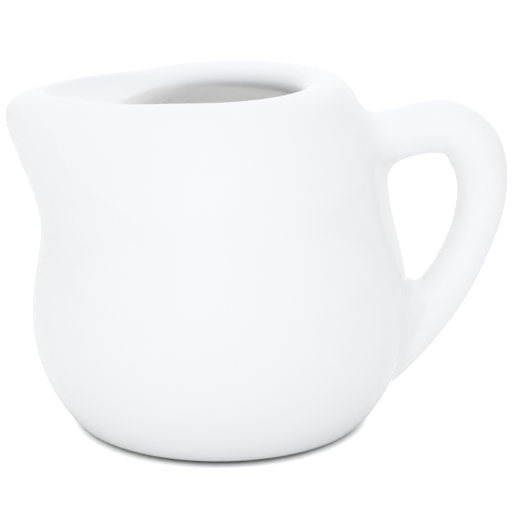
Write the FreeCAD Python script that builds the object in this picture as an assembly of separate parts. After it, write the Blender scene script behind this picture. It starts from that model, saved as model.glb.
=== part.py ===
"""Individual porcelain milk jug, one glazed piece with a beak spout and an ear handle.

The jug stands on the XY plane with its axis on Z.  The spout points along -X, the handle
along +X, and the XZ plane is its plane of symmetry.  Lengths are in millimetres.

The wall is a single B-spline skin, closed round the axis, that runs from the foot up the
outside, over the rounded lip and down the inside to the floor.  Three meridians drive
it: the round body's, the beak's, and the beak's with the trough that leads out to its
tip.  Bell curves round the axis blend one into the next, so that the lip's undercut edge
runs round the mouth and under the trough.  The handle is a second skin, swept along its
centre line and sunk into the wall, with a fillet round each of its roots.
"""

import FreeCAD
import Part

import math
import os

# Foot and body
foot_radius = 20.95
foot_round = 2.1
foot_ring = 2.6
foot_recess = 1.2
belly_radius = 29.2
belly_height = 15.6
waist_radius = 26.55
waist_height = 33.0
shoulder_radius = 25.1
shoulder_height = 41.2
wall = 4.4
floor_thickness = 4.0

# Rim
jug_height = 53.3
crest_radius = 16.7
lip_inset = 4.3
lip_depth = 3.7
rim_slope = 0.037
slope_start = 9.5

# Spout
spout_radius = 32.9
spout_height = 48.7
spout_crest = 28.3
spout_dip = 0.3
throat_radius = 27.7
spout_spread = 30.9
spout_taper = 1.55
trough_depth = 4.9
trough_spread = 47.0
trough_taper = 5.0
flank_dip = 0.35
flank_turn = 45.0
flank_spread = 16.0

# Handle
handle_thickness = 8.1
handle_breadth = 8.0
handle_stand = 11.1
crown_height = 46.2
upper_root_height = 44.6
lower_root_height = 12.6
upper_fillet = 3.2
lower_fillet = 1.8

# Fineness of the skins
meridian_count = 48
ring_count = 12
pole_sweeps = 60


def round_meridian():
    """Points of the round body's meridian, as (radius, height), from foot to floor."""
    edge_radius = crest_radius - lip_inset
    upper_belly = 0.8 * belly_radius + 0.2 * waist_radius
    upper_height = 0.5 * (belly_height + waist_height)
    return [
        (foot_radius, 0.0),
        (foot_radius + foot_round, 1.0),
        (foot_radius + 0.52 * (belly_radius - foot_radius), 0.24 * belly_height),
        (foot_radius + 0.81 * (belly_radius - foot_radius), 0.54 * belly_height),
        (belly_radius, belly_height),
        (upper_belly, upper_height),
        (waist_radius, waist_height),
        (shoulder_radius, shoulder_height),
        (shoulder_radius - 3.0, jug_height - 5.3),
        (crest_radius + 3.0, jug_height - 1.4),
        (crest_radius, jug_height),
        (edge_radius + 0.27 * lip_inset, jug_height - 0.2 * lip_depth),
        (edge_radius, jug_height - 0.63 * lip_depth),
        (edge_radius + 0.6, jug_height - lip_depth),
        (edge_radius + 2.4, jug_height - lip_depth - 1.4),
        (shoulder_radius - wall - 3.5, jug_height - lip_depth - 3.6),
        (shoulder_radius - wall - 0.2, shoulder_height + 0.3),
        (waist_radius - wall + 0.5, waist_height + 0.2),
        (upper_belly - wall, upper_height),
        (belly_radius - wall, belly_height),
        (belly_radius - wall - 1.3, floor_thickness + 5.4),
        (belly_radius - wall - 5.1, floor_thickness + 1.4),
        (belly_radius - wall - 15.8, floor_thickness),
    ]


def beak_meridian():
    """Points of the meridian through the beak, one for each of the round body's."""
    points = round_meridian()
    points[5] = (throat_radius + 0.8, points[5][1])
    points[6] = (throat_radius, waist_height - 0.8)
    points[7] = (throat_radius + 2.5, shoulder_height - 0.9)
    points[8] = (spout_radius - 0.3, spout_height - 2.4)
    points[9] = (spout_radius - 0.3, spout_height + 2.4)
    points[10] = (spout_crest, jug_height - spout_dip)
    for index, share, _ in trough_points():
        radius, height = points[index]
        reach = (1.0 - share) * (spout_crest - crest_radius)
        points[index] = (radius + reach, height - spout_dip)
    points[17] = (throat_radius - 4.7, waist_height + 0.2)
    return points


def trough_points():
    """Points of the trough, as (index, share of the way to the mouth, share of its depth)."""
    return [
        (11, 0.17, 0.22),
        (12, 0.55, 0.6),
        (13, 0.93, 0.9),
        (14, 1.0, 1.25),
        (15, 0.8, 1.7),
        (16, 0.44, 2.57),
    ]


def trough_meridian():
    """The beak's meridian with the trough that runs from the mouth out to its tip."""
    mouth_radius = crest_radius - lip_inset
    crest_height = jug_height - spout_dip
    points = beak_meridian()
    for index, share, drop in trough_points():
        radius = (1.0 - share) * spout_crest + share * mouth_radius
        points[index] = (radius, crest_height - drop * trough_depth)
    return points


def curve_through(points):
    """Cubic curve through points at even steps."""
    curve = Part.BSplineCurve()
    steps = [float(index) for index in range(len(points))]
    curve.interpolate(Points=points, Parameters=steps)
    return curve


def poles_through(points, first, last):
    """Poles of the cubic curve through points at even steps, with its end tangents."""
    inner = list(points)
    end = len(points) - 1
    for _ in range(pole_sweeps):
        for index, point in enumerate(points):
            before = inner[index - 1] if index > 0 else inner[1] - first * 2.0
            after = inner[index + 1] if index < end else inner[end - 1] + last * 2.0
            inner[index] = (point * 6.0 - before - after) * 0.25
    start = (inner[0] * 2.0 + inner[1]) * (1.0 / 3.0)
    finish = (inner[end] * 2.0 + inner[end - 1]) * (1.0 / 3.0)
    return [points[0], start] + inner[1:end] + [finish, points[end]]


def swell(count):
    """Factor by which a ring of that many poles stands outside the curve it carries."""
    return 3.0 / (2.0 + math.cos(2.0 * math.pi / count))


def capped(rows, knots, mults):
    """Solid under a cubic skin that is closed across the rows and flat at both ends."""
    surface = Part.BSplineSurface()
    surface.buildFromPolesMultsKnots(
        rows,
        [1] * (len(rows) + 1),
        mults,
        [float(index) for index in range(len(rows) + 1)],
        knots,
        True,
        False,
        3,
        3,
    )
    faces = [surface.toShape()]
    for parameter in (knots[0], knots[-1]):
        ring = surface.vIso(parameter).toShape()
        faces.append(Part.Face(Part.Wire(ring)))
    shell = Part.makeShell(faces)
    shell.sewShape()
    solid = Part.makeSolid(shell)
    if solid.Volume < 0:
        solid.reverse()
    return solid


def rim_lift(x, height, turn):
    """Lift of a point: the rim's slope and its dip beside the beak, faded downwards."""
    share = max(0.0, (height - slope_start) / (jug_height - slope_start))
    off = min(turn, 360.0 - turn)
    dip = flank_dip * math.exp(-(((off - flank_turn) / flank_spread) ** 2))
    return rim_slope * x * share**2 - dip * share**8


def bell(turn, spread, taper):
    """Share that falls from 1 at the beak to 0 behind it, with an angle in degrees."""
    off = min(turn, 360.0 - turn)
    return math.exp(-((off / spread) ** taper))


def make_wall():
    """The jug without its handle."""
    first = FreeCAD.Vector(3, 0, 0)
    last = FreeCAD.Vector(-9, 0, 0)
    curves = []
    for meridian in (round_meridian(), beak_meridian(), trough_meridian()):
        points = [FreeCAD.Vector(radius, 0, height) for radius, height in meridian]
        curves.append(poles_through(points, first, last))
    poles = list(zip(*curves))
    rows = []
    for index in range(meridian_count):
        turn = 360.0 * index / meridian_count
        angle = math.radians(180.0 + turn)
        row = []
        for plain, beak, trough in poles:
            pole = plain + (beak - plain) * bell(turn, spout_spread, spout_taper)
            pole = pole + (trough - beak) * bell(turn, trough_spread, trough_taper)
            radius = pole.x * swell(meridian_count)
            x = radius * math.cos(angle)
            y = radius * math.sin(angle)
            row.append(FreeCAD.Vector(x, y, pole.z + rim_lift(x, pole.z, turn)))
        rows.append(row)
    count = len(points)
    return capped(rows, [float(index) for index in range(count)], [4] + [1] * (count - 2) + [4])


def outer_radius(height):
    """Radius of the round body's outside at a height between the foot and the rim."""
    outside = round_meridian()[:11]
    curve = curve_through([FreeCAD.Vector(radius, 0, z) for radius, z in outside])
    level = Part.LineSegment(FreeCAD.Vector(0, 0, height), FreeCAD.Vector(90, 0, height))
    return curve.toShape().distToShape(level.toShape())[1][0][0].x


def inside(height, depth):
    """Radius of a point that lies that deep inside the round body's skin at a height."""
    slope = 0.5 * (outer_radius(height + 1.0) - outer_radius(height - 1.0))
    return outer_radius(height) - depth * math.hypot(1.0, slope)


def make_core():
    """A solid of revolution whose side runs up the middle of the wall."""
    outline = [(foot_radius - wall / 2, floor_thickness / 2)]
    outline += [(radius - wall / 2, z) for radius, z in round_meridian()[2:10]]
    corners = [(0.0, outline[0][1])] + outline + [(0.0, outline[-1][1])]
    wire = Part.makePolygon([FreeCAD.Vector(x, 0, z) for x, z in corners + corners[:1]])
    return Part.Face(wire).revolve(FreeCAD.Vector(), FreeCAD.Vector(0, 0, 1), 360)


def handle_stations():
    """Stations of the handle as (x, z, thickness, breadth) down its centre line."""
    upper = outer_radius(upper_root_height)
    lower = outer_radius(lower_root_height)
    bend = lower_root_height - 3.9
    tail = lower_root_height - 7.0
    out = belly_radius + handle_stand
    elbow = crown_height - 12.9
    drop = elbow - lower_root_height
    reach = out - 0.3 - lower
    thick = handle_thickness
    broad = handle_breadth
    return [
        (upper - 4.8, upper_root_height - 1.6, thick + 3.2, broad + 2.8),
        (upper - 1.2, upper_root_height - 1.0, thick + 1.9, broad + 1.6),
        (upper + 2.2, upper_root_height + 0.1, thick + 0.1, broad + 0.6),
        (upper + 6.4, upper_root_height + 1.3, thick - 0.1, broad),
        (out - 5.6, crown_height, thick + 0.2, broad),
        (out - 2.0, crown_height - 2.3, thick + 0.5, broad),
        (out - 0.1, crown_height - 7.2, thick, broad),
        (out - 0.3, elbow, thick - 0.6, broad),
        (out - 0.3 - 0.145 * reach, elbow - 0.266 * drop, thick - 1.0, broad),
        (out - 0.3 - 0.373 * reach, elbow - 0.531 * drop, thick - 0.7, broad),
        (out - 0.3 - 0.709 * reach, elbow - 0.797 * drop, thick - 0.1, broad),
        (lower - 0.5, lower_root_height - 0.3, thick, broad + 1.2),
        (inside(bend, 2.3), bend, thick - 0.8, broad + 1.8),
        (inside(tail, 3.4), tail, thick - 2.8, broad + 0.6),
    ]


def make_handle():
    """The handle, cut off along the middle of the wall."""
    stations = handle_stations()
    centres = [FreeCAD.Vector(x, 0, z) for x, z, _, _ in stations]
    line = curve_through(centres)
    across = FreeCAD.Vector(0, 1, 0)
    rows = []
    for turn in range(ring_count):
        angle = 2.0 * math.pi * turn / ring_count
        points = []
        for step, (_, _, thick, broad) in enumerate(stations):
            outward = across.cross(line.tangent(float(step))[0])
            depth = outward * (thick / 2 * math.cos(angle))
            width = across * (broad / 2 * math.sin(angle))
            points.append(centres[step] + (depth + width) * swell(ring_count))
        rail = curve_through(points)
        rows.append(rail.getPoles())
    return capped(rows, rail.getKnots(), rail.getMultiplicities()).cut(make_core())


def rounded_roots(jug):
    """The jug with a fillet where each end of the handle leaves the body."""
    rings = [edge for edge in jug.Edges if edge.Closed]
    roots = [ring for ring in rings if ring.BoundBox.Center.x > 0.5 * foot_radius]
    roots.sort(key=lambda ring: ring.BoundBox.Center.z)
    lower, upper = roots
    return jug.makeFillet(lower_fillet, [lower]).makeFillet(upper_fillet, [upper])


def make_recess():
    """The shallow recess inside the ring that the jug stands on."""
    radius = foot_radius - foot_ring
    cone = Part.makeCone(radius, radius - foot_recess, foot_recess)
    rim = [edge for edge in cone.Edges if edge.Closed and edge.BoundBox.ZMin > 0.5 * foot_recess]
    return cone.makeFillet(0.5 * foot_recess, rim)


def main():
    """Build the jug and write its STEP file."""
    jug = make_wall().fuse(make_handle()).Solids[0]
    jug = rounded_roots(jug).cut(make_recess())
    print("valid", jug.isValid(), "solids", len(jug.Solids), "faces", len(jug.Faces))
    print("volume", round(jug.Volume, 1), "box", jug.BoundBox)
    os.makedirs("parts", exist_ok=True)
    jug.exportStep("parts/jug.step")


main()
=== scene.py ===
"""Looks of an individual porcelain milk jug: one glazed piece with a beak spout and an ear handle.

The jug is one skin.  Geometry Nodes turn three meridians, those of the round body, the
beak and the trough in the beak, into a closed net of the wall.  The handle's rails are let
into that net with a soft fillet round each root, and a Subdivision Surface modifier then
rounds the whole net.
"""

import logging
import math
from dataclasses import dataclass, field
from enum import Enum
from typing import Any, Callable, Dict, List, Optional, Sequence, Tuple, Union

import bmesh
import bpy
import numpy as np
from bmesh.types import BMesh, BMVert
from bpy.types import ID, Material, Node, NodeSocket, NodeTree, Object, Scene
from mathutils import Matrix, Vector
from mathutils.bvhtree import BVHTree


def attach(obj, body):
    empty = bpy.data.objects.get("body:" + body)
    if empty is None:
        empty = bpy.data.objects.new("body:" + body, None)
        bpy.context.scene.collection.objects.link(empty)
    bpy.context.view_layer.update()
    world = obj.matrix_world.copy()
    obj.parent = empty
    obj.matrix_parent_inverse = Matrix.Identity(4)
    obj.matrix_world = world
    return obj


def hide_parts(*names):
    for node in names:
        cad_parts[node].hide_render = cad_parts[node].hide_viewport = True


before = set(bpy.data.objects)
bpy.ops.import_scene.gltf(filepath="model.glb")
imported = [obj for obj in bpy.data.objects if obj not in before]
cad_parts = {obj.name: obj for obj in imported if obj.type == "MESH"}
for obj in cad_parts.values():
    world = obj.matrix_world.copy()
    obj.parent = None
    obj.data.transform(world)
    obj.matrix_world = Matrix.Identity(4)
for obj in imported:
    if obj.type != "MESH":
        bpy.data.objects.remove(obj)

MM = 0.001
MERIDIANS = ("plain", "beak", "trough")
# The trough's points: index in the meridian, share of the way from the beak's tip to the
# mouth, and drop in trough depths.
TROUGH = (
    (11, 0.17, 0.22),
    (12, 0.55, 0.6),
    (13, 0.93, 0.9),
    (14, 1.0, 1.25),
    (15, 0.8, 1.7),
    (16, 0.44, 2.57),
)
HALVINGS = 40
RAY_SLACK = 1.0001
STEP_SLACK = 0.1
log = logging.getLogger("jug")

Pair = Tuple[float, float]
Triple = Tuple[float, float, float]
Colour = Tuple[float, float, float, float]
Rail = List[Vector]
Crossing = Tuple[int, Vector, Vector]
Ring = List[BMVert]
Value = Union["Term", float]


class Spline:
    """Cubic curve with continuous curvature through points at even steps."""

    def __init__(
        self,
        points: Sequence[Sequence[float]],
        first: Optional[Sequence[float]] = None,
        last: Optional[Sequence[float]] = None,
    ) -> None:
        """Find the poles of the curve.

        Args:
            points: Points that the curve goes through, at steps 0, 1, 2 and so on.
            first: Tangent at the first point, or None to follow the first four points.
            last: Tangent at the last point, or None to follow the last four points.
        """
        through = np.array(points, float)
        count = len(through)
        # Weights of four points that give the tangent at the first of them.
        lead = np.array([-11.0, 18.0, -9.0, 2.0]) / 6.0
        start = lead @ through[:4] if first is None else np.array(first, float)
        end = -lead @ through[::-1][:4] if last is None else np.array(last, float)
        rule = np.zeros((count + 2, count + 2))
        rule[0, [0, 2]] = -0.5, 0.5
        rule[-1, [-3, -1]] = -0.5, 0.5
        for index in range(count):
            rule[index + 1, index : index + 3] = 1.0 / 6.0, 4.0 / 6.0, 1.0 / 6.0
        self.length = count - 1
        self.poles = np.linalg.solve(rule, np.vstack([start, through, end]))

    def _span(self, step: float) -> Tuple[int, float]:
        """Index of the span that holds a step, and the share of it that is passed."""
        index = min(max(int(math.floor(step)), 0), self.length - 1)
        return index, step - index

    def at(self, step: float) -> np.ndarray:
        """Point of the curve at a step."""
        index, u = self._span(step)
        second = 3 * u**3 - 6 * u**2 + 4
        third = -3 * u**3 + 3 * u**2 + 3 * u + 1
        weights = np.array([(1 - u) ** 3, second, third, u**3])
        return weights @ self.poles[index : index + 4] / 6.0

    def tangent(self, step: float) -> np.ndarray:
        """Unit tangent of the curve at a step."""
        index, u = self._span(step)
        weights = np.array(
            [-((1 - u) ** 2), 3 * u**2 - 4 * u, -3 * u**2 + 2 * u + 1, u**2]
        )
        slope = weights @ self.poles[index : index + 4] / 2.0
        return slope / np.linalg.norm(slope)

    def pole(self, step: float, spacing: float) -> np.ndarray:
        """Pole at a step of the same curve when its poles stand closer together.

        Args:
            step: Where on the curve.
            spacing: Distance between poles, in steps.

        Returns:
            The pole, which lies a little outside the curve's bend.
        """
        index, u = self._span(step)
        weights = np.array([1 - u, 3 * u - 2, 1 - 3 * u, u])
        bend = weights @ self.poles[index : index + 4]
        return self.at(step) - bend * spacing**2 / 6.0


def new_object(name: str, data: ID) -> Object:
    """Make an object of a mesh, lamp or lens and link it to the scene."""
    made = bpy.data.objects.new(name, data)
    bpy.context.scene.collection.objects.link(made)
    return made


class Tree:
    """A node tree whose nodes are added through one method."""

    def __init__(self, tree: NodeTree) -> None:
        """Wrap a node tree."""
        self.tree = tree

    def node(self, kind: str, settings: Optional[Dict] = None, **sockets: Any) -> Node:
        """Add a node.

        Args:
            kind: Type of the node.
            settings: Values of the node's own properties, set first.
            **sockets: Values or links of its inputs, by name with _ for a space, or i0,
                i1 and so on by place.

        Returns:
            The new node.
        """
        node = self.tree.nodes.new(kind)
        for name, value in (settings or {}).items():
            setattr(node, name, value)
        for name, value in sockets.items():
            placed = name[0] == "i" and name[1:].isdigit()
            socket = node.inputs[int(name[1:]) if placed else name.replace("_", " ")]
            if isinstance(value, Term):
                value = value.socket
            if isinstance(value, NodeSocket):
                self.tree.links.new(value, socket)
            else:
                socket.default_value = value
        return node

    def parts(self, vector: NodeSocket) -> List["Term"]:
        """The three parts of a vector as terms."""
        split = self.node("ShaderNodeSeparateXYZ", Vector=vector)
        return [Term(socket) for socket in split.outputs]

    def rays(self) -> List["Term"]:
        """Terms that are 1 for camera, glossy and transmission rays, in that order."""
        path = self.node("ShaderNodeLightPath")
        kinds = ("Camera", "Glossy", "Transmission")
        return [Term(path.outputs[f"Is {kind} Ray"]) for kind in kinds]


class Net(Tree):
    """A Geometry Nodes tree with named inputs."""

    def __init__(self, name: str) -> None:
        """Start an empty tree that takes and gives geometry."""
        super().__init__(bpy.data.node_groups.new(name, "GeometryNodeTree"))
        face = self.tree.interface
        for way in ("INPUT", "OUTPUT"):
            face.new_socket("Geometry", in_out=way, socket_type="NodeSocketGeometry")
        self.inputs = self.tree.nodes.new("NodeGroupInput")
        self.outputs = self.tree.nodes.new("NodeGroupOutput")
        self.values: Dict[str, Any] = {}

    def named(self, name: str, value: Any, kind: str = "Float") -> "Term":
        """Add a named input.

        Args:
            name: The input's name.
            value: What the modifier gives it.
            kind: Its socket type, without the leading NodeSocket.

        Returns:
            The input as a term.
        """
        item = self.tree.interface.new_socket(
            name, in_out="INPUT", socket_type="NodeSocket" + kind
        )
        self.values[item.identifier] = value
        return Term(self.inputs.outputs[name])

    def run(self, source: Object, name: str) -> Object:
        """Evaluate the tree on an object and keep the result as a plain mesh.

        Args:
            source: Object whose mesh goes in.
            name: Name of the object that comes out.

        Returns:
            A new object with the evaluated mesh.
        """
        modifier = source.modifiers.new(self.tree.name, "NODES")
        modifier.node_group = self.tree
        for identifier, value in self.values.items():
            modifier[identifier] = value
        graph = bpy.context.evaluated_depsgraph_get()
        graph.update()
        mesh = bpy.data.meshes.new_from_object(
            source.evaluated_get(graph), preserve_all_data_layers=True, depsgraph=graph
        )
        source.modifiers.remove(modifier)
        return new_object(name, mesh)


def math_node(operation: str, swapped: bool = False) -> Callable[..., "Term"]:
    """Method of Term that adds a Math node.

    Args:
        operation: What the node works out.
        swapped: Whether the other value comes first.

    Returns:
        A method that takes one other value or none, and gives the node's result.
    """

    def add(term: "Term", *others: Value) -> "Term":
        """Add the node to the term's tree."""
        values = (*others, term) if swapped else (term, *others)
        sockets = {f"i{place}": value for place, value in enumerate(values)}
        tree = Tree(term.socket.id_data)
        node = tree.node("ShaderNodeMath", {"operation": operation}, **sockets)
        return Term(node.outputs[0])

    return add


class Term:
    """A number's socket, whose operators and methods add nodes to its tree."""

    __add__ = __radd__ = math_node("ADD")
    __sub__ = math_node("SUBTRACT")
    __rsub__ = math_node("SUBTRACT", swapped=True)
    __mul__ = __rmul__ = math_node("MULTIPLY")
    __truediv__ = math_node("DIVIDE")
    __pow__ = math_node("POWER")
    least = math_node("MINIMUM")
    most = math_node("MAXIMUM")
    exp = math_node("EXPONENT")
    cos = math_node("COSINE")
    sin = math_node("SINE")
    floor = math_node("FLOOR")

    def __init__(self, socket: NodeSocket) -> None:
        """Wrap a socket."""
        self.socket = socket

    def __neg__(self) -> "Term":
        """The term with its sign turned."""
        return self * -1.0

    def ramp(self, low: float, high: float) -> "Term":
        """Smooth step from 0 at low to 1 at high.

        Args:
            low: Value that gives 0.
            high: Value that gives 1.

        Returns:
            The stepped term.
        """
        tree = Tree(self.socket.id_data)
        settings = {"interpolation_type": "SMOOTHSTEP"}
        sockets = {"i0": self, "i1": low, "i2": high, "i3": 0.0, "i4": 1.0}
        return Term(tree.node("ShaderNodeMapRange", settings, **sockets).outputs[0])


class Paint(Tree):
    """A material's node tree."""

    def __init__(self, name: str) -> None:
        """Start an empty material."""
        self.material = bpy.data.materials.new(name)
        self.material.use_nodes = True
        super().__init__(self.material.node_tree)
        self.tree.nodes.clear()

    def place(self) -> NodeSocket:
        """The piece's own coordinates."""
        return self.node("ShaderNodeTexCoord").outputs["Object"]

    def noise(self, vector: NodeSocket, size: float, detail: float) -> Term:
        """Smooth noise.

        Args:
            vector: Where it is read.
            size: Width of one swell, in metres.
            detail: How many finer layers it has.

        Returns:
            Noise about 0.5.
        """
        sockets = {"Vector": vector, "Scale": 1.0 / size, "Detail": detail}
        return Term(self.node("ShaderNodeTexNoise", **sockets).outputs["Fac"])

    def mix(self, share: Term, first: Any, second: Any) -> NodeSocket:
        """Blend of two colours by a share."""
        settings = {"data_type": "RGBA"}
        return self.node("ShaderNodeMix", settings, i0=share, i6=first, i7=second).outputs[2]

    def finish(self, shader: Node) -> Material:
        """Send a shader to the material's surface."""
        self.node("ShaderNodeOutputMaterial", Surface=shader.outputs[0])
        return self.material


@dataclass(frozen=True)
class Glaze:
    """Clear glaze over white porcelain, left off the ring that the jug stands on.

    Light scatters through the wall inside the bowl, and there the base colour is brighter too:
    painted light that keeps the bowl's shade from going dark.
    The inside is parted from the outside along the middle of the wall: lip_flare and
    bowl_flare say how that widens downward from the lip and upward from the floor.  The
    heights of ripple and grain are shares of the swell's, and corner_walls, lip_share and
    floor_share are counted in walls, lip depths and floors.
    """

    body: Colour = (0.948, 0.956, 0.976, 1.0)
    pooled: Colour = (0.925, 0.941, 0.964, 1.0)
    painted_bowl_light: Colour = (0.990, 0.989, 0.972, 1.0)
    bare: Colour = (0.82, 0.80, 0.76, 1.0)
    refraction: float = 1.5
    roughness: float = 0.09
    ripple_roughness: float = 0.03
    grain_roughness: float = 0.01
    bare_roughness: float = 0.62
    coat: float = 0.35
    coat_roughness: float = 0.04
    bare_full: float = 0.27 * MM
    bare_top: float = 0.45 * MM
    bare_margin: float = 1.2 * MM
    bare_wander: float = 0.35 * MM
    bare_edge: float = 0.1 * MM
    wander_size: float = 1.6 * MM
    swell_size: float = 17.0 * MM
    swell_height: float = 0.05 * MM
    swell_range: Pair = (0.35, 0.75)
    swell_pooling: float = 0.3
    ripple_size: float = 4.5 * MM
    ripple_height: float = 0.08
    ripple_range: Pair = (0.5, 0.9)
    ripple_pooling: float = 0.12
    grain_size: float = 0.35 * MM
    grain_height: float = 0.25
    scatter: float = 20.0 * MM
    fade: float = 0.8 * MM
    lip_shift: float = 0.8 * MM
    lip_flare: float = 1.1
    lip_share: float = 0.7
    bowl_flare: float = 0.9
    corner_walls: float = 1.35
    floor_share: float = 0.35
    floor_fade: float = 1.0 * MM

    def within(self, wall: "Wall", x: Term, radius: Term, z: Term) -> Term:
        """Share of the inside of the bowl, which gets the brighter glaze of painted light, parted
        from the outside halfway through the wall.

        Args:
            wall: The wall, for its sizes.
            x: Place along the jug, in metres.
            radius: Distance from the axis, in metres.
            z: Height, in metres.

        Returns:
            1 on the inside below the lip, 0 on the outside.
        """
        # Depth below a plane that tilts by the rim's slope, but down toward the handle.
        depth = wall.jug_height * MM - wall.rim_slope * x - z
        drop = wall.shoulder_height - wall.belly_height
        lean = (wall.belly_radius - wall.shoulder_radius) / drop
        widest = wall.belly_radius - 0.5 * wall.wall + lean * wall.belly_height
        lip = wall.crest_radius - wall.lip_inset - self.lip_share * wall.lip_depth
        lip = lip * MM + self.lip_shift
        corner = (wall.foot_radius - self.corner_walls * wall.wall) * MM
        middle = (depth * self.lip_flare + lip).least(z * -lean + widest * MM)
        middle = middle.least(z * self.bowl_flare + corner)
        floor = (wall.foot_recess + self.floor_share * wall.floor_thickness) * MM
        inner = (middle - radius).ramp(-self.fade, self.fade)
        below = depth.ramp(self.lip_share * wall.lip_depth * MM, wall.lip_depth * MM)
        return inner * below * z.ramp(floor, floor + self.floor_fade)

    def unglazed(self, wall: "Wall", wander: Term, radius: Term, z: Term) -> Term:
        """Share of the bare ring that the jug stands on.

        Args:
            wall: The wall, for its foot.
            wander: Noise about 0 that moves the glaze's edge.
            radius: Distance from the axis, in metres.
            z: Height, in metres.

        Returns:
            1 on the ring, 0 off it.
        """
        inner = (wall.foot_radius - wall.foot_ring) * MM
        outer = wall.foot_radius * MM + self.bare_margin
        low = 1 - (z + wander * self.bare_wander).ramp(self.bare_full, self.bare_top)
        ringed = radius.ramp(inner - 2.0 * self.bare_edge, inner + self.bare_edge)
        return low * ringed * (1 - radius.ramp(outer, outer + 4.0 * self.bare_edge))

    def make(self, wall: "Wall") -> Material:
        """Build the material.

        Args:
            wall: The wall, for the places of its inside and its foot.

        Returns:
            The glaze.
        """
        paint = Paint("glaze")
        place = paint.place()
        x, y, z = paint.parts(place)
        radius = (x * x + y * y) ** 0.5
        wander = paint.noise(place, self.wander_size, 2.0) - 0.5
        bare = self.unglazed(wall, wander, radius, z)
        swell = paint.noise(place, self.swell_size, 1.0)
        ripple = paint.noise(place, self.ripple_size, 2.0)
        grain = paint.noise(place, self.grain_size, 3.0)
        pooled = swell.ramp(*self.swell_range) * self.swell_pooling
        pooled = pooled + ripple.ramp(*self.ripple_range) * self.ripple_pooling
        colour = paint.mix(bare, paint.mix(pooled, self.body, self.pooled), self.bare)
        rough = self.roughness + (ripple - 0.5) * self.ripple_roughness
        rough = rough + grain * self.grain_roughness
        rough = rough + bare * (self.bare_roughness - self.roughness)
        height = swell + ripple * self.ripple_height + bare * grain * self.grain_height
        relief = {"Strength": 1.0, "Distance": self.swell_height, "Height": height}
        bump = paint.node("ShaderNodeBump", **relief)
        shared = {"Roughness": rough, "IOR": self.refraction, "Normal": bump.outputs[0]}
        outside = paint.node(
            "ShaderNodeBsdfPrincipled",
            Base_Color=colour,
            Coat_Weight=(1 - bare) * self.coat,
            Coat_Roughness=self.coat_roughness,
            **shared,
        )
        # Inside the bowl: real scatter through the wall, under a brighter base colour that is
        # painted light over the bowl's shade.
        inside = paint.node(
            "ShaderNodeBsdfPrincipled",
            Base_Color=self.painted_bowl_light,
            Subsurface_Weight=1.0,
            Subsurface_Radius=(1.0, 1.0, 1.0),
            Subsurface_Scale=self.scatter,
            **shared,
        )
        share = self.within(wall, x, radius, z)
        both = {"i0": share, "i1": outside.outputs[0], "i2": inside.outputs[0]}
        return paint.finish(paint.node("ShaderNodeMixShader", **both))


@dataclass(frozen=True)
class StudioWhite:
    """White sweep that the jug stands on: it shows as white and keeps the jug's shadow.

    To the lens it is painted darker close to the foot: a painted contact shadow where the jug all
    but touches it.
    """

    colour: float = 0.94
    lift: float = 1.9
    contact: float = 19.4 * MM
    open: float = 25.4 * MM
    forward: float = 1.0 * MM
    narrow: float = 1.05
    # Colour of the painted contact shadow at its darkest.
    painted_shadow: Triple = (0.045, 0.056, 0.054)

    def make(self) -> Material:
        """Build the material, brighter to the lens and in reflections than to the jug."""
        paint = Paint("studio_white")
        x, y, _ = paint.parts(paint.place())
        # Painted contact shadow: darkest at contact, gone by open, pushed forward and narrowed
        # across.
        away = ((x * self.narrow) ** 2.0 + (y + self.forward) ** 2.0) ** 0.5
        clear = away.ramp(self.contact, self.open)
        seen, mirrored, through = paint.rays()
        plain = self.colour + mirrored.most(through) * (1.0 - self.colour)
        levels = [
            plain + seen * ((painted_shadow + clear * (1.0 - painted_shadow)) * self.lift - self.colour)
            for painted_shadow in self.painted_shadow
        ]
        sockets = {f"i{place}": level for place, level in enumerate(levels)}
        tone = paint.node("ShaderNodeCombineColor", **sockets)
        shader = paint.node("ShaderNodeBsdfDiffuse", Color=tone.outputs[0])
        return paint.finish(shader)


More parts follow.
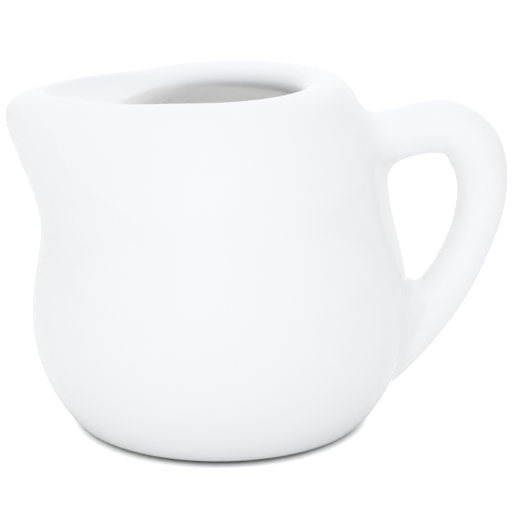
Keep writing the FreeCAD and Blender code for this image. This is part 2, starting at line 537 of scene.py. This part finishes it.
@dataclass
class Wall:
    """The round body, the rim and the beak, in millimetres and degrees."""

    foot_radius: float = 20.95
    foot_round: float = 2.1
    foot_ring: float = 2.6
    foot_recess: float = 1.2
    belly_radius: float = 29.2
    belly_height: float = 15.6
    waist_radius: float = 26.55
    waist_height: float = 33.0
    shoulder_radius: float = 25.1
    shoulder_height: float = 41.2
    wall: float = 4.4
    floor_thickness: float = 4.0
    jug_height: float = 53.3
    crest_radius: float = 16.7
    lip_inset: float = 4.3
    lip_depth: float = 3.7
    rim_slope: float = 0.037
    slope_start: float = 9.5
    spout_radius: float = 32.9
    spout_height: float = 48.7
    spout_crest: float = 28.3
    spout_dip: float = 0.3
    throat_radius: float = 27.7
    spout_spread: float = 30.9
    spout_taper: float = 1.55
    trough_depth: float = 4.9
    trough_spread: float = 47.0
    trough_taper: float = 5.0
    flank_dip: float = 0.35
    flank_turn: float = 45.0
    flank_spread: float = 16.0
    slope_power: float = 2.0
    flank_power: float = 8.0
    weld: float = 0.001
    columns: int = 48
    rows_per_step: int = 2

    def round_meridian(self) -> List[Pair]:
        """Points of the round body's meridian, as (radius, height), from foot to floor."""
        top, lip = self.jug_height, self.lip_depth
        edge = self.crest_radius - self.lip_inset
        upper = 0.8 * self.belly_radius + 0.2 * self.waist_radius
        upper_height = 0.5 * (self.belly_height + self.waist_height)
        flare = self.belly_radius - self.foot_radius
        inner = self.belly_radius - self.wall
        shoulder = self.shoulder_radius
        return [
            (self.foot_radius, 0.0),
            (self.foot_radius + self.foot_round, 1.0),
            (self.foot_radius + 0.52 * flare, 0.24 * self.belly_height),
            (self.foot_radius + 0.81 * flare, 0.54 * self.belly_height),
            (self.belly_radius, self.belly_height),
            (upper, upper_height),
            (self.waist_radius, self.waist_height),
            (shoulder, self.shoulder_height),
            (shoulder - 3.0, top - 5.3),
            (self.crest_radius + 3.0, top - 1.4),
            (self.crest_radius, top),
            (edge + 0.27 * self.lip_inset, top - 0.2 * lip),
            (edge, top - 0.63 * lip),
            (edge + 0.6, top - lip),
            (edge + 2.4, top - lip - 1.4),
            (shoulder - self.wall - 3.5, top - lip - 3.6),
            (shoulder - self.wall - 0.2, self.shoulder_height + 0.3),
            (self.waist_radius - self.wall + 0.5, self.waist_height + 0.2),
            (upper - self.wall, upper_height),
            (inner, self.belly_height),
            (inner - 1.3, self.floor_thickness + 5.4),
            (inner - 5.1, self.floor_thickness + 1.4),
            (inner - 15.8, self.floor_thickness),
        ]

    def beak_meridian(self) -> List[Pair]:
        """Points of the meridian through the beak, one for each of the round body's."""
        crest_height = self.jug_height - self.spout_dip
        crest = self.spout_crest
        throat = self.throat_radius
        points = self.round_meridian()
        points[5] = (throat + 0.8, points[5][1])
        points[6] = (throat, self.waist_height - 0.8)
        points[7] = (throat + 2.5, self.shoulder_height - 0.9)
        points[8] = (self.spout_radius - 0.3, self.spout_height - 2.4)
        points[9] = (self.spout_radius - 0.3, self.spout_height + 2.4)
        points[10] = (crest, crest_height)
        for index, share, _ in TROUGH:
            radius, height = points[index]
            reach = (1.0 - share) * (crest - self.crest_radius)
            points[index] = (radius + reach, height - self.spout_dip)
        points[17] = (throat - 4.7, self.waist_height + 0.2)
        return points

    def trough_meridian(self) -> List[Pair]:
        """The beak's meridian with the trough that leads from the mouth to its tip."""
        mouth = self.crest_radius - self.lip_inset
        crest_height = self.jug_height - self.spout_dip
        points = self.beak_meridian()
        for index, share, drop in TROUGH:
            radius = (1.0 - share) * self.spout_crest + share * mouth
            points[index] = (radius, crest_height - drop * self.trough_depth)
        return points

    def underside(self) -> List[Pair]:
        """Rows from the middle of the recess to the foot ring, before the meridian."""
        ring = self.foot_radius - self.foot_ring
        deep = self.foot_recess
        bed = ring - deep
        return [
            (0.0, deep),
            (0.3 * bed, deep),
            (0.7 * bed, deep),
            (bed - 0.6, deep),
            (bed, 0.93 * deep),
            (bed + 0.35 * deep, 0.65 * deep),
            (ring - 0.2 * deep, 0.15 * deep),
            (ring, 0.0),
            (ring + 0.4, 0.0),
            (ring + 0.5 * self.foot_ring, 0.0),
            (self.foot_radius - 0.5, 0.0),
        ]

    def rows(self, meridian: List[Pair]) -> List[Triple]:
        """Poles of a whole meridian from the recess round to the middle of the floor.

        Args:
            meridian: Points of the meridian from the foot's edge to the floor.

        Returns:
            Poles as (radius, height, step); the step counts along the meridian and is
            below 0 on the underside.
        """
        # The tangents keep it level where it leaves the foot and meets the floor.
        curve = Spline(meridian, (3.0, 0.0), (-9.0, 0.0))
        spacing = 1.0 / self.rows_per_step
        under = self.underside()
        made = [(r, z, -spacing * (len(under) - i)) for i, (r, z) in enumerate(under)]
        for index in range(curve.length * self.rows_per_step + 1):
            step = index * spacing
            ends = step in (0.0, float(curve.length))
            radius, height = curve.at(step) if ends else curve.pole(step, spacing)
            made.append((radius, height, step))
        radius, height, step = made[-1]
        for index, share in enumerate((0.66, 0.33, 0.0)):
            made.append((radius * share, height, step + spacing * (index + 1)))
        return made

    def net(self, rows: int) -> Net:
        """Tree that sweeps the three meridians round the axis.

        Args:
            rows: How many rows each meridian has.

        Returns:
            The tree, with the wall's sizes as named inputs.
        """
        net = Net("JugWall")
        around = net.named("Columns", self.columns, "Int")
        spread = net.named("Spout Spread", self.spout_spread)
        taper = net.named("Spout Taper", self.spout_taper)
        trough_spread = net.named("Trough Spread", self.trough_spread)
        trough_taper = net.named("Trough Taper", self.trough_taper)
        slope = net.named("Rim Slope", self.rim_slope)
        start = net.named("Slope Start", self.slope_start * MM)
        height = net.named("Jug Height", self.jug_height * MM)
        dip = net.named("Flank Dip", self.flank_dip * MM)
        dip_turn = net.named("Flank Turn", self.flank_turn)
        dip_spread = net.named("Flank Spread", self.flank_spread)

        sides = {"Vertices_X": around + 1.0, "Vertices_Y": rows}
        sheet = net.node("GeometryNodeMeshGrid", Size_X=1.0, Size_Y=1.0, **sides)
        index = Term(net.node("GeometryNodeInputIndex").outputs[0])
        column = (index / float(rows) + 0.5 / rows).floor()
        row = index - column * float(rows)
        turn = column / around * 360.0
        off = turn.least(360.0 - turn)
        share = (-((off / spread) ** taper)).exp()
        hollow = (-((off / trough_spread) ** trough_taper)).exp()

        plain, beak, trough = [self.sampled(net, name, row) for name in MERIDIANS]
        blend = []
        for first, second, third in zip(plain, beak, trough):
            blend.append(first + (second - first) * share + (third - second) * hollow)
        # A ring of poles stands wider than the circle that it rounds off to.
        swell = 3.0 / (2.0 + math.cos(2.0 * math.pi / self.columns))
        angle = (turn + 180.0) * (math.pi / 180.0)
        x = blend[0] * swell * angle.cos()
        y = blend[0] * swell * angle.sin()
        # The rim rises toward the handle and dips on the beak's flanks.
        up = ((blend[2] - start) / (height - start)).most(0.0)
        flank = (-(((off - dip_turn) / dip_spread) ** 2.0)).exp()
        z = blend[2] + slope * x * up**self.slope_power - dip * flank * up**self.flank_power
        place = net.node("ShaderNodeCombineXYZ", X=x, Y=y, Z=z).outputs[0]
        moved = net.node("GeometryNodeSetPosition", Geometry=sheet.outputs[0], Position=place)
        kept = moved.outputs[0]
        for name, value in (("step", blend[1] * 1000.0), ("turn", turn - 180.0)):
            sockets = {"Geometry": kept, "Name": name, "Value": value}
            kept = net.node("GeometryNodeStoreNamedAttribute", **sockets).outputs[0]
        for kind, sockets in (
            ("MergeByDistance", {"Distance": self.weld * MM}),
            ("SubdivisionSurface", {"Level": 1}),
            ("RealizeInstances", {}),
            ("SetMaterial", {}),
        ):
            kept = net.node("GeometryNode" + kind, i0=kept, **sockets).outputs[0]
        net.tree.links.new(kept, net.outputs.inputs[0])
        return net

    def sampled(self, net: Net, name: str, row: Term) -> List[Term]:
        """A meridian's pole at a row.

        Args:
            net: Tree that reads it.
            name: Attribute that holds the meridian's poles.
            row: The row.

        Returns:
            The pole's radius, step and height.
        """
        kind = {"data_type": "FLOAT_VECTOR"}
        read = net.node("GeometryNodeInputNamedAttribute", kind, Name=name).outputs[0]
        sockets = {"Geometry": net.inputs.outputs[0], "Value": read, "Index": row}
        sample = net.node("GeometryNodeSampleIndex", kind, **sockets)
        return net.parts(sample.outputs[0])

    def build(self) -> Object:
        """Build the wall's net as a plain mesh with the attributes step and turn."""
        made = [self.round_meridian(), self.beak_meridian(), self.trough_meridian()]
        meridians = [self.rows(points) for points in made]
        mesh = bpy.data.meshes.new("meridians")
        mesh.from_pydata([(r * MM, 0.0, z * MM) for r, z, _ in meridians[0]], [], [])
        for name, rows in zip(MERIDIANS, meridians):
            layer = mesh.attributes.new(name, "FLOAT_VECTOR", "POINT")
            flat = [value * MM for r, z, step in rows for value in (r, step, z)]
            layer.data.foreach_set("vector", flat)
        source = new_object("meridians", mesh)
        net = self.net(len(meridians[0])).run(source, "wall_net")
        bpy.data.objects.remove(source)
        return net

    def outer_radius(self, height: float) -> float:
        """Radius of the round body's outside at a height between the foot and the rim."""
        curve = Spline(self.round_meridian()[:11])
        low, high = 0.0, float(curve.length)
        for _ in range(HALVINGS):
            middle = 0.5 * (low + high)
            if curve.at(middle)[1] < height:
                low = middle
            else:
                high = middle
        return float(curve.at(low)[0])

    def inside(self, height: float, depth: float) -> float:
        """Radius of a point that lies that deep inside the body's skin at a height."""
        slope = 0.5 * (self.outer_radius(height + 1.0) - self.outer_radius(height - 1.0))
        return self.outer_radius(height) - depth * math.hypot(1.0, slope)


class End(Enum):
    """The handle's ends, each with the way along its rails that leads out of the wall."""

    UPPER = 1
    LOWER = -1


@dataclass
class Root:
    """One end of the handle: the window in the wall's net that it is let into.

    Of its fillets the inner one faces the handle's gap, and the outer one is over the
    upper root or under the lower root.
    """

    end: End
    lowest_step: float
    highest_step: float
    inner_fillet: float
    flank_fillet: float
    outer_fillet: float


@dataclass
class Handle:
    """The ear handle, in millimetres.

    A fillet takes the angle between handle and wall as at least sharpest and at most
    bluntest, in degrees, and reaches no further than longest_reach radii.
    """

    thickness: float = 8.1
    breadth: float = 8.0
    stand: float = 11.1
    crown_height: float = 46.2
    upper_root_height: float = 44.6
    lower_root_height: float = 12.6
    cells: int = 12
    steps_per_station: int = 4
    fillet_rings: int = 5
    middle_rings: int = 44
    margin_rings: int = 2
    sharpest: float = 40.0
    bluntest: float = 160.0
    longest_reach: float = 1.7
    roots: Tuple[Root, Root] = field(
        default_factory=lambda: (
            Root(End.UPPER, 6.0, 9.0, 3.2, 4.4, 3.2),
            Root(End.LOWER, 2.0, 5.0, 1.8, 5.0, 4.0),
        )
    )

    def stations(self, wall: Wall) -> List[Tuple[float, float, float, float]]:
        """Stations of the handle as (x, z, thickness, breadth) down its centre line."""
        upper = wall.outer_radius(self.upper_root_height)
        lower = wall.outer_radius(self.lower_root_height)
        top, low = self.upper_root_height, self.lower_root_height
        bend = low - 3.9
        tail = low - 7.0
        out = wall.belly_radius + self.stand
        elbow = self.crown_height - 12.9
        drop = elbow - low
        back = out - 0.3
        reach = back - lower
        thick, broad = self.thickness, self.breadth
        return [
            (upper - 4.8, top - 1.6, thick + 3.2, broad + 2.8),
            (upper - 1.2, top - 1.0, thick + 1.9, broad + 1.6),
            (upper + 2.2, top + 0.1, thick + 0.1, broad + 0.6),
            (upper + 6.4, top + 1.3, thick - 0.1, broad),
            (out - 5.6, self.crown_height, thick + 0.2, broad),
            (out - 2.0, self.crown_height - 2.3, thick + 0.5, broad),
            (out - 0.1, self.crown_height - 7.2, thick, broad),
            (back, elbow, thick - 0.6, broad),
            (back - 0.145 * reach, elbow - 0.266 * drop, thick - 1.0, broad),
            (back - 0.373 * reach, elbow - 0.531 * drop, thick - 0.7, broad),
            (back - 0.709 * reach, elbow - 0.797 * drop, thick - 0.1, broad),
            (lower - 0.5, low - 0.3, thick, broad + 1.2),
            (wall.inside(bend, 2.3), bend, thick - 0.8, broad + 1.8),
            (wall.inside(tail, 3.4), tail, thick - 2.8, broad + 0.6),
        ]

    def rails(self, wall: Wall) -> List[Rail]:
        """Long curves that run down the handle's surface.

        Args:
            wall: The wall that carries the handle.

        Returns:
            For each rail its points in metres, from inside the wall at the top to
            inside the wall at the bottom.
        """
        stations = self.stations(wall)
        line = Spline([(x, 0.0, z) for x, z, _, _ in stations])
        across = np.array([0.0, 1.0, 0.0])
        made = []
        count = 4 * self.cells
        steps = line.length * self.steps_per_station
        for turn in range(count):
            angle = 2.0 * math.pi * turn / count
            points = []
            for step, (x, z, thick, broad) in enumerate(stations):
                inward = np.cross(across, line.tangent(float(step)))
                depth = inward * (thick / 2 * math.cos(angle))
                width = across * (broad / 2 * math.sin(angle))
                points.append(np.array([x, 0.0, z]) + depth + width)
            rail = Spline(points)
            places = [rail.at(index / self.steps_per_station) for index in range(steps + 1)]
            made.append([Vector(place) * MM for place in places])
        return made

    def join(self, wall: Wall, net: Object) -> Object:
        """Let the handle into the wall's net.

        Args:
            wall: The wall's sizes.
            net: The wall's net, which is used up.

        Returns:
            The whole jug as one closed net.
        """
        work = bmesh.new()
        work.from_mesh(net.data)
        skin = BVHTree.FromBMesh(work)
        windows = [self.window(work, wall, root) for root in self.roots]
        rails = self.rails(wall)
        strips = [self.strip(skin, rails, root) for root in self.roots]
        bands = []
        for ring in self.rings(rails, strips):
            bands.append([work.verts.new(point) for point in ring])
        for first, second in zip(bands, bands[1:]):
            self.bridge(work, first, second)
        for root, window, band in zip(self.roots, windows, (bands[0], bands[-1])):
            self.fit(work, skin, window, band, root)
        bmesh.ops.recalc_face_normals(work, faces=work.faces[:])
        mesh = bpy.data.meshes.new("jug_body")
        work.to_mesh(mesh)
        work.free()
        bpy.data.objects.remove(net)
        return new_object("jug_body", mesh)

    def window(self, work: BMesh, wall: Wall, root: Root) -> Ring:
        """Open a square window in the net for one root.

        Args:
            work: The net.
            wall: The wall, for the columns of its net.
            root: The root.

        Returns:
            The window's edge as a closed ring of vertices.
        """
        step = work.verts.layers.float["step"]
        turn = work.verts.layers.float["turn"]
        width = 0.5 * self.cells * 180.0 / wall.columns
        inside = []
        for face in work.faces:
            rows = sum(vert[step] for vert in face.verts) / len(face.verts)
            middle = sum(vert[turn] for vert in face.verts) / len(face.verts)
            if root.lowest_step < rows < root.highest_step and abs(middle) < width:
                inside.append(face)
        bmesh.ops.delete(work, geom=inside, context="FACES")
        lowest, highest = root.lowest_step - STEP_SLACK, root.highest_step + STEP_SLACK
        near = [edge for edge in work.edges if edge.is_boundary]
        near = [edge for edge in near if lowest < edge.verts[0][step] < highest]
        ring = [near[0].verts[0], near[0].verts[1]]
        left = set(near[1:])
        while left:
            for edge in ring[-1].link_edges:
                if edge in left:
                    left.remove(edge)
                    ring.append(edge.other_vert(ring[-1]))
                    break
            else:
                break
        return ring[:-1]

    def crossings(self, skin: BVHTree, rails: List[Rail], root: Root) -> List[Crossing]:
        """Where the rails leave the wall.

        Args:
            skin: The wall's surface.
            rails: The handle's rails.
            root: The end that is looked at.

        Returns:
            For each rail the index of its first point outside the wall, the place where
            it crosses the surface and the surface's normal there.
        """
        stride = root.end.value
        made = []
        for rail in rails:
            half = len(rail) // 2
            last = 0 if root.end is End.UPPER else len(rail) - 1
            for index in range(half, last, -stride):
                ray = rail[index - stride] - rail[index]
                place, normal, _, _ = skin.ray_cast(
                    rail[index], ray.normalized(), ray.length * RAY_SLACK
                )
                if place is not None:
                    made.append((index, place, normal))
                    break
        return made

    def strip(self, skin: BVHTree, rails: List[Rail], root: Root) -> List[Rail]:
        """Fillet between the handle and the wall.

        Args:
            skin: The wall's surface.
            rails: The handle's rails.
            root: The end that is made.

        Returns:
            For each rail the fillet's points, from the wall up to the handle.
        """
        crossings = self.crossings(skin, rails, root)
        count = len(rails)
        middle = sum((place for _, place, _ in crossings), Vector()) / count
        stride = root.end.value
        sharpest, bluntest = math.radians(self.sharpest), math.radians(self.bluntest)
        made = []
        for turn, rail in enumerate(rails):
            inward = math.cos(2.0 * math.pi * turn / count)
            side = root.inner_fillet if inward > 0 else root.outer_fillet
            radius = (root.flank_fillet + (side - root.flank_fillet) * inward**2) * MM
            index, place, normal = crossings[turn]
            before, after = crossings[turn - 1][1], crossings[(turn + 1) % count][1]
            along = (after - before).normalized()
            away = normal.cross(along).normalized()
            if away.dot(place - middle) < 0:
                away = -away
            leave = (rail[index + stride] - place).normalized()
            leave = (leave - along * leave.dot(along)).normalized()
            angle = math.acos(max(-1.0, min(1.0, leave.dot(away))))
            angle = max(sharpest, min(bluntest, angle))
            reach = min(radius / math.tan(angle / 2), self.longest_reach * radius)
            turned = math.pi - angle
            pull = 4 / 3 * math.tan(turned / 4) / math.tan(turned / 2)
            top, lead = walk(rail, index, stride, place, reach)
            foot, foot_normal, _, _ = skin.find_nearest(place + away * reach)
            back = place - foot
            back -= foot_normal * back.dot(foot_normal)
            leg = back.normalized() * reach * pull
            poles = [foot, foot + leg, top - lead * reach * pull, top]
            points = []
            for ring in range(self.fillet_rings + 1):
                points.append(bezier(poles, ring / self.fillet_rings))
            made.append(points)
        return made

    def rings(self, rails: List[Rail], strips: List[List[Rail]]) -> List[List[Vector]]:
        """All rings of the handle from the upper root's foot to the lower root's foot.

        Args:
            rails: The handle's rails.
            strips: The fillets, for each end.

        Returns:
            Rings with one point for every rail.
        """
        ways = []
        for rail, first, last in zip(rails, *strips):
            stretch = between(rail, first[-1], last[-1])
            gaps = self.middle_rings + 1
            middle = [along_way(stretch, place / gaps) for place in range(1, gaps)]
            ways.append(first + middle + last[::-1])
        return [list(ring) for ring in zip(*ways)]

    def bridge(self, work: BMesh, first: Ring, second: Ring) -> None:
        """Join two rings of as many vertices with faces."""
        count = len(first)
        for place in range(count):
            after = (place + 1) % count
            work.faces.new((first[place], first[after], second[after], second[place]))

    def fit(self, work: BMesh, skin: BVHTree, window: Ring, band: Ring, root: Root) -> None:
        """Fill the wall between a window's edge and the foot of a fillet.

        Args:
            work: The net.
            skin: The wall's surface.
            window: The window's edge.
            band: The fillet's foot.
            root: The root.
        """
        # The first rail leaves the upper root at its bottom and the lower root at its top.
        start = min(window, key=lambda vert: abs(vert.co.y) + root.end.value * vert.co.z * 0.5)
        place = window.index(start)
        ring = window[place:] + window[:place]
        if (ring[1].co.y > ring[-1].co.y) != (band[1].co.y > band[-1].co.y):
            ring = ring[:1] + ring[:0:-1]
        last = ring
        for index in range(self.margin_rings):
            share = (index + 1) / (self.margin_rings + 1)
            middle = []
            for outer, inner in zip(ring, band):
                point = outer.co.lerp(inner.co, share)
                middle.append(work.verts.new(skin.find_nearest(point)[0]))
            self.bridge(work, last, middle)
            last = middle
        self.bridge(work, last, band)


def bezier(poles: Sequence[Vector], share: float) -> Vector:
    """Point of a cubic Bezier curve at a share of its length."""
    left = 1.0 - share
    weights = (left**3, 3 * left**2 * share, 3 * left * share**2, share**3)
    return sum((pole * weight for pole, weight in zip(poles, weights)), Vector())


def walk(
    rail: Rail, index: int, stride: int, place: Vector, reach: float
) -> Tuple[Vector, Vector]:
    """Go along a rail from where it leaves the wall.

    Args:
        rail: Points of the rail.
        index: Index of its first point outside the wall.
        stride: 1 to go down the rail and -1 to go up.
        place: Where the rail leaves the wall.
        reach: How far to go.

    Returns:
        The point reached and the direction there.
    """
    here, left = place, reach
    for point in rail[index::stride]:
        ahead = point - here
        if ahead.length >= left:
            break
        here, left = point, left - ahead.length
    return here + ahead.normalized() * left, ahead.normalized()


def between(rail: Rail, first: Vector, last: Vector) -> Rail:
    """The stretch of a rail between two places on it, with them as its ends."""
    nearest = []
    for place in (first, last):
        gaps = []
        for start, end in zip(rail, rail[1:]):
            span = end - start
            share = max(0.0, min(1.0, (place - start).dot(span) / span.length_squared))
            gaps.append((start + span * share - place).length)
        nearest.append(gaps.index(min(gaps)))
    low, high = nearest
    return [first] + rail[low + 1 : high + 1] + [last]


def along_way(way: Rail, share: float) -> Vector:
    """Point at a share of the length of a chain of points."""
    lengths = [(end - start).length for start, end in zip(way, way[1:])]
    left = share * sum(lengths)
    for start, end, length in zip(way, way[1:], lengths):
        if left <= length:
            return start.lerp(end, left / length)
        left -= length
    return way[-1].copy()


@dataclass
class Jug:
    """The whole jug."""

    wall: Wall = field(default_factory=Wall)
    handle: Handle = field(default_factory=Handle)
    glaze: Glaze = field(default_factory=Glaze)
    levels: int = 1

    def build(self) -> Object:
        """Build the jug, dress it and put it in the place of the CAD node."""
        net = self.wall.build()
        piece = self.handle.join(self.wall, net)
        piece.data.materials.clear()
        piece.data.materials.append(self.glaze.make(self.wall))
        piece.data.shade_smooth()
        smooth = piece.modifiers.new("rounding", "SUBSURF")
        smooth.levels = smooth.render_levels = self.levels
        smooth.use_limit_surface = True
        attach(piece, "root")
        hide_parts("jug")
        return piece


@dataclass(frozen=True)
class Lamp:
    """Soft square lamp: its place and side in metres, its power in watts."""

    name: str
    place: Triple
    side: float
    power: float

    def build(self, target: Triple) -> None:
        """Hang the lamp, facing a target and not mirrored in the glaze.

        Args:
            target: What it faces.
        """
        light = bpy.data.lights.new(self.name, "AREA")
        light.size = self.side
        light.energy = self.power
        lamp = new_object(self.name, light)
        lamp.location = self.place
        aim = Vector(target) - Vector(self.place)
        lamp.rotation_mode = "QUATERNION"
        lamp.rotation_quaternion = aim.to_track_quat("-Z", "Y")
        lamp.visible_glossy = False


@dataclass
class Studio:
    """White sweep, soft light and camera, in metres and degrees, with the lens in millimetres."""

    floor_radius: float = 3.0
    floor_sides: int = 96
    ambient: float = 0.67
    lamps: Tuple[Lamp, ...] = (
        Lamp("key", (-0.15, -1.25, 0.4), 0.7, 3.4),
        Lamp("back", (0.1, 1.2, 0.8), 1.2, 4.2),
        Lamp("top", (0.0, 0.0, 1.1), 1.4, 2.6),
    )
    target: Triple = (0.005596, 0.0, 0.025739)
    distance: float = 0.341
    pitch: float = 15.873
    focal: float = 154.6875
    sensor: float = 36.0
    clip: Pair = (0.01, 50.0)

    def build(self) -> None:
        """Build the floor, the lamps, the world and the camera."""
        scene = bpy.context.scene
        scene.view_settings.view_transform = "Standard"
        self.world(scene)
        floor = self.floor()
        for lamp in self.lamps:
            lamp.build(self.target)
        self.camera(scene)

    def world(self, scene: Scene) -> None:
        """Even white surroundings, at full white to the lens and in reflections."""
        world = bpy.data.worlds.new("studio")
        world.use_nodes = True
        scene.world = world
        world.node_tree.nodes.clear()
        tree = Tree(world.node_tree)
        seen, mirrored, through = tree.rays()
        plain = seen.most(mirrored).most(through)
        level = self.ambient + plain * (1.0 - self.ambient)
        white = (1.0, 1.0, 1.0, 1.0)
        back = tree.node("ShaderNodeBackground", Color=white, Strength=level)
        tree.node("ShaderNodeOutputWorld", Surface=back.outputs[0])

    def floor(self) -> Object:
        """Round white floor."""
        mesh = bpy.data.meshes.new("floor")
        work = bmesh.new()
        circle = {"segments": self.floor_sides, "radius": self.floor_radius}
        bmesh.ops.create_circle(work, cap_ends=True, **circle)
        work.to_mesh(mesh)
        work.free()
        mesh.materials.append(StudioWhite().make())
        return new_object("floor", mesh)

    def camera(self, scene: Scene) -> None:
        """Camera a little above the rim, level across the jug."""
        lens = bpy.data.cameras.new("camera")
        lens.lens = self.focal
        lens.sensor_width = self.sensor
        lens.clip_start, lens.clip_end = self.clip
        camera = new_object("camera", lens)
        pitch = math.radians(self.pitch)
        back = Vector((0.0, -math.cos(pitch), math.sin(pitch)))
        camera.location = Vector(self.target) + back * self.distance
        camera.rotation_mode = "QUATERNION"
        camera.rotation_quaternion = (-back).to_track_quat("-Z", "Y")
        scene.camera = camera


def main() -> None:
    """Build the studio and the jug, and report each piece."""
    logging.basicConfig(level=logging.INFO, format="%(name)s: %(message)s")
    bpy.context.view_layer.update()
    Studio().build()
    piece = Jug().build()
    log.info("%s: %d faces in its net", piece.name, len(piece.data.polygons))


if __name__ == "__main__":
    main()
